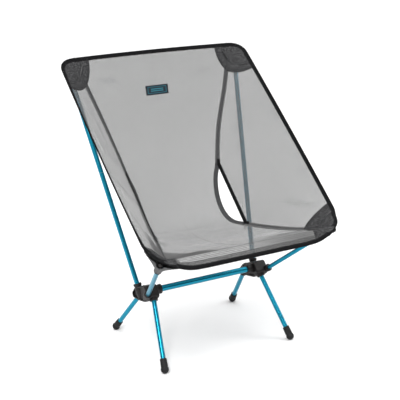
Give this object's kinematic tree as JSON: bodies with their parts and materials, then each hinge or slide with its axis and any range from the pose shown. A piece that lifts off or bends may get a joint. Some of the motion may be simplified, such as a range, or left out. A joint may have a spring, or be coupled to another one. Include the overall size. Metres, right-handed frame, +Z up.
{
  "type": "camping chair",
  "caption": "Low ultralight backpacking chair: shock-corded blue tube frame in two moulded hubs carrying a grey mesh sling with bound edges and corner pockets.",
  "frame": {"origin": "on the floor under the middle of the chair", "axes": "+Z up, -Y the way the sitter faces, X across the seat with the left-hand pieces on -X"},
  "size_m": [0.49, 0.4699, 0.6409],
  "materials": {
    "blue_anodised": "satin blue anodised tube",
    "bare_aluminium": "mill finish",
    "hub_plastic": "fine moulded grain",
    "foot_rubber": "matt rubber",
    "shock_cord": "braided elastic cord",
    "mesh_fabric": "see-through woven mesh",
    "grey_reinforcement": "dark grey ripstop",
    "black_webbing": "black grosgrain"
  },
  "bodies": {
    "frame": {"back_and_seat_panel": "mesh_fabric", "back_label": "black_webbing", "crossbar": "blue_anodised", "crossbar_cord": "shock_cord", "front_binding": "black_webbing", "front_lip": "mesh_fabric", "hub_left": "hub_plastic", "hub_right": "hub_plastic", "seam_tape_left": "grey_reinforcement", "seam_tape_right": "grey_reinforcement", "side_binding_left": "black_webbing", "side_binding_right": "black_webbing", "side_wing_left": "mesh_fabric", "side_wing_right": "mesh_fabric", "top_binding": "black_webbing", "vent_binding_left": "black_webbing", "vent_binding_right": "black_webbing"},
    "back_pole_left": {"back_pole_cord_left": "shock_cord", "back_pole_ferrule_left": "bare_aluminium", "back_pole_lower_left": "blue_anodised", "back_pole_tip_left": "hub_plastic", "back_pole_upper_left": "blue_anodised"},
    "back_pole_right": {"back_pole_cord_right": "shock_cord", "back_pole_ferrule_right": "bare_aluminium", "back_pole_lower_right": "blue_anodised", "back_pole_tip_right": "hub_plastic", "back_pole_upper_right": "blue_anodised"},
    "front_corner_left": {"front_corner_patch_left": "grey_reinforcement", "front_corner_pocket_left": "grey_reinforcement"},
    "front_corner_right": {"front_corner_patch_right": "grey_reinforcement", "front_corner_pocket_right": "grey_reinforcement"},
    "front_leg_left": {"front_leg_cord_left": "shock_cord", "front_leg_foot_left": "foot_rubber", "front_leg_left": "blue_anodised", "front_leg_plug_left": "hub_plastic"},
    "front_leg_right": {"front_leg_cord_right": "shock_cord", "front_leg_foot_right": "foot_rubber", "front_leg_plug_right": "hub_plastic", "front_leg_right": "blue_anodised"},
    "front_pole_left": {"front_pole_cord_left": "shock_cord", "front_pole_left": "blue_anodised", "front_pole_tip_left": "hub_plastic"},
    "front_pole_right": {"front_pole_cord_right": "shock_cord", "front_pole_right": "blue_anodised", "front_pole_tip_right": "hub_plastic"},
    "rear_leg_left": {"rear_leg_cord_left": "shock_cord", "rear_leg_foot_left": "foot_rubber", "rear_leg_left": "blue_anodised", "rear_leg_plug_left": "hub_plastic"},
    "rear_leg_right": {"rear_leg_cord_right": "shock_cord", "rear_leg_foot_right": "foot_rubber", "rear_leg_plug_right": "hub_plastic", "rear_leg_right": "blue_anodised"},
    "top_corner_left": {"top_corner_patch_left": "grey_reinforcement", "top_corner_pocket_left": "grey_reinforcement"},
    "top_corner_right": {"top_corner_patch_right": "grey_reinforcement", "top_corner_pocket_right": "grey_reinforcement"}
  },
  "joints": [
    {"name": "front_leg_pull_left", "type": "slide", "parent": "frame", "child": "front_leg_left", "axis": [-0.1478, -0.5907, -0.7932], "range_m": [0, 0.042], "stiffness_N_per_m": 60, "springref_m": -0.12},
    {"name": "rear_leg_pull_left", "type": "slide", "parent": "frame", "child": "rear_leg_left", "axis": [-0.1555, 0.6154, -0.7727], "range_m": [0, 0.042], "stiffness_N_per_m": 60, "springref_m": -0.12},
    {"name": "top_corner_pull_left", "type": "slide", "parent": "frame", "child": "top_corner_left", "axis": [-0.1265, 0.392, 0.9112], "range_m": [0, 0.08], "stiffness_N_per_m": 150, "springref_m": -0.08},
    {"name": "back_pole_pull_left", "type": "slide", "parent": "frame", "child": "back_pole_left", "axis": [-0.1265, 0.392, 0.9112], "range_m": [0, 0.034]},
    {"name": "front_corner_pull_left", "type": "slide", "parent": "frame", "child": "front_corner_left", "axis": [-0.2464, -0.7416, 0.624], "range_m": [0, 0.08], "stiffness_N_per_m": 150, "springref_m": -0.08},
    {"name": "front_pole_pull_left", "type": "slide", "parent": "frame", "child": "front_pole_left", "axis": [-0.2464, -0.7416, 0.624], "range_m": [0, 0.034]},
    {"name": "front_leg_pull_right", "type": "slide", "parent": "frame", "child": "front_leg_right", "axis": [0.1478, -0.5907, -0.7932], "range_m": [0, 0.042], "stiffness_N_per_m": 60, "springref_m": -0.12},
    {"name": "rear_leg_pull_right", "type": "slide", "parent": "frame", "child": "rear_leg_right", "axis": [0.1555, 0.6154, -0.7727], "range_m": [0, 0.042], "stiffness_N_per_m": 60, "springref_m": -0.12},
    {"name": "top_corner_pull_right", "type": "slide", "parent": "frame", "child": "top_corner_right", "axis": [0.1265, 0.392, 0.9112], "range_m": [0, 0.08], "stiffness_N_per_m": 150, "springref_m": -0.08},
    {"name": "back_pole_pull_right", "type": "slide", "parent": "frame", "child": "back_pole_right", "axis": [0.1265, 0.392, 0.9112], "range_m": [0, 0.034]},
    {"name": "front_corner_pull_right", "type": "slide", "parent": "frame", "child": "front_corner_right", "axis": [0.2464, -0.7416, 0.624], "range_m": [0, 0.08], "stiffness_N_per_m": 150, "springref_m": -0.08},
    {"name": "front_pole_pull_right", "type": "slide", "parent": "frame", "child": "front_pole_right", "axis": [0.2464, -0.7416, 0.624], "range_m": [0, 0.034]}
  ],
  "couplings": [
    {"joint": "back_pole_pull_left", "follows": "top_corner_pull_left", "ratio": 0.42},
    {"joint": "front_pole_pull_left", "follows": "front_corner_pull_left", "ratio": 0.42},
    {"joint": "back_pole_pull_right", "follows": "top_corner_pull_right", "ratio": 0.42},
    {"joint": "front_pole_pull_right", "follows": "front_corner_pull_right", "ratio": 0.42}
  ]
}
